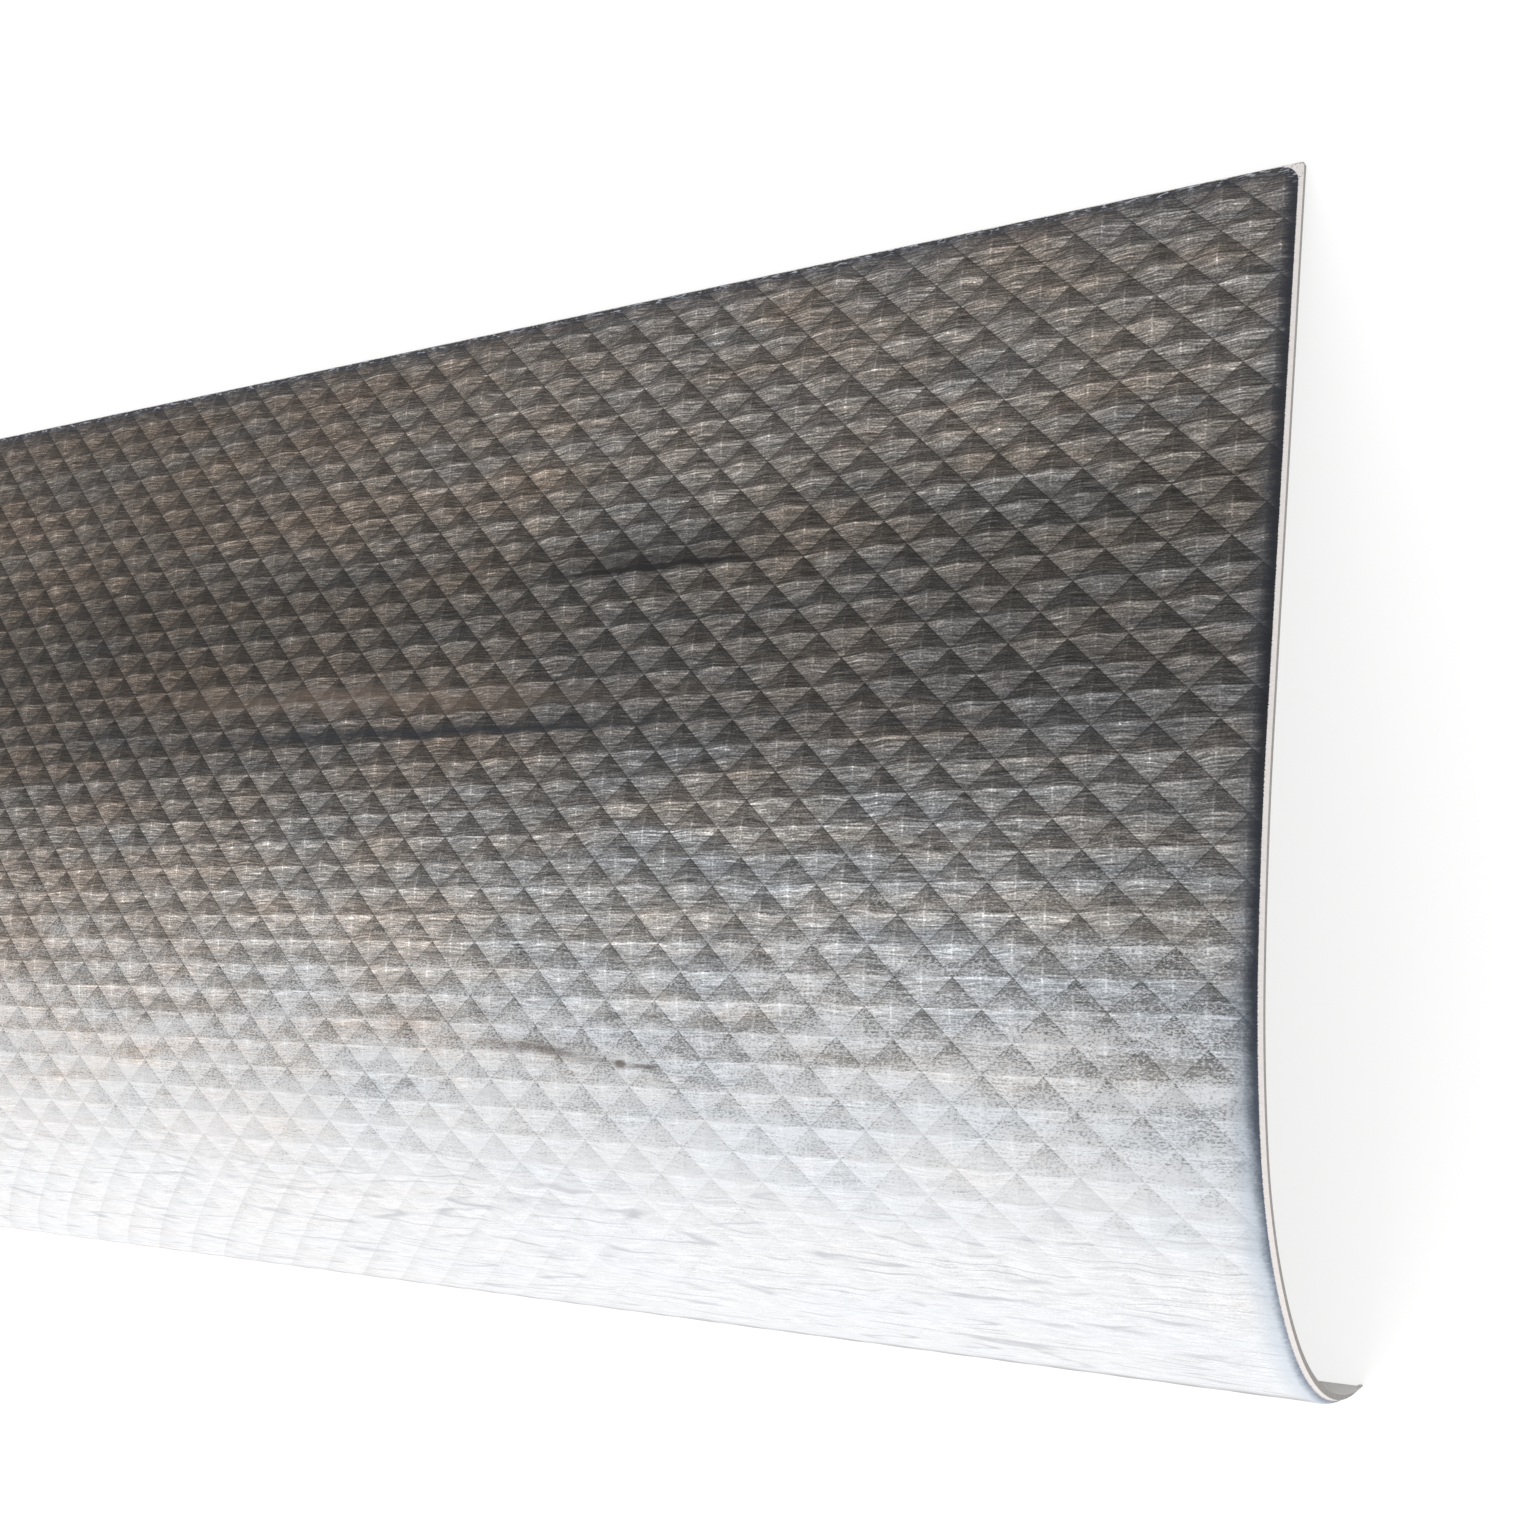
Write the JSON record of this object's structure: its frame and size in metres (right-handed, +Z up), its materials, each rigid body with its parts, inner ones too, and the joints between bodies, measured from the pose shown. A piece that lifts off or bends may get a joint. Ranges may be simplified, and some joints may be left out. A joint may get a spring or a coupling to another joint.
{
  "type": "textured plywood panel",
  "caption": "Thin bent plywood sheet with a raised diamond-pyramid face, flat on one side and curled down along the other long edge.",
  "frame": {"origin": "middle of the footprint, on the floor that the two long edges rest on", "axes": "+X along the sheet's length, +Y from the curled long edge to the straight long edge, +Z up, out of the textured face"},
  "size_m": [1.22, 0.5317, 0.1154],
  "materials": {
    "stained_wood": "weathered grey-brown stain, matt, worn pale on the high points"
  },
  "bodies": {
    "root": {"panel": "stained_wood"}
  },
  "joints": []
}
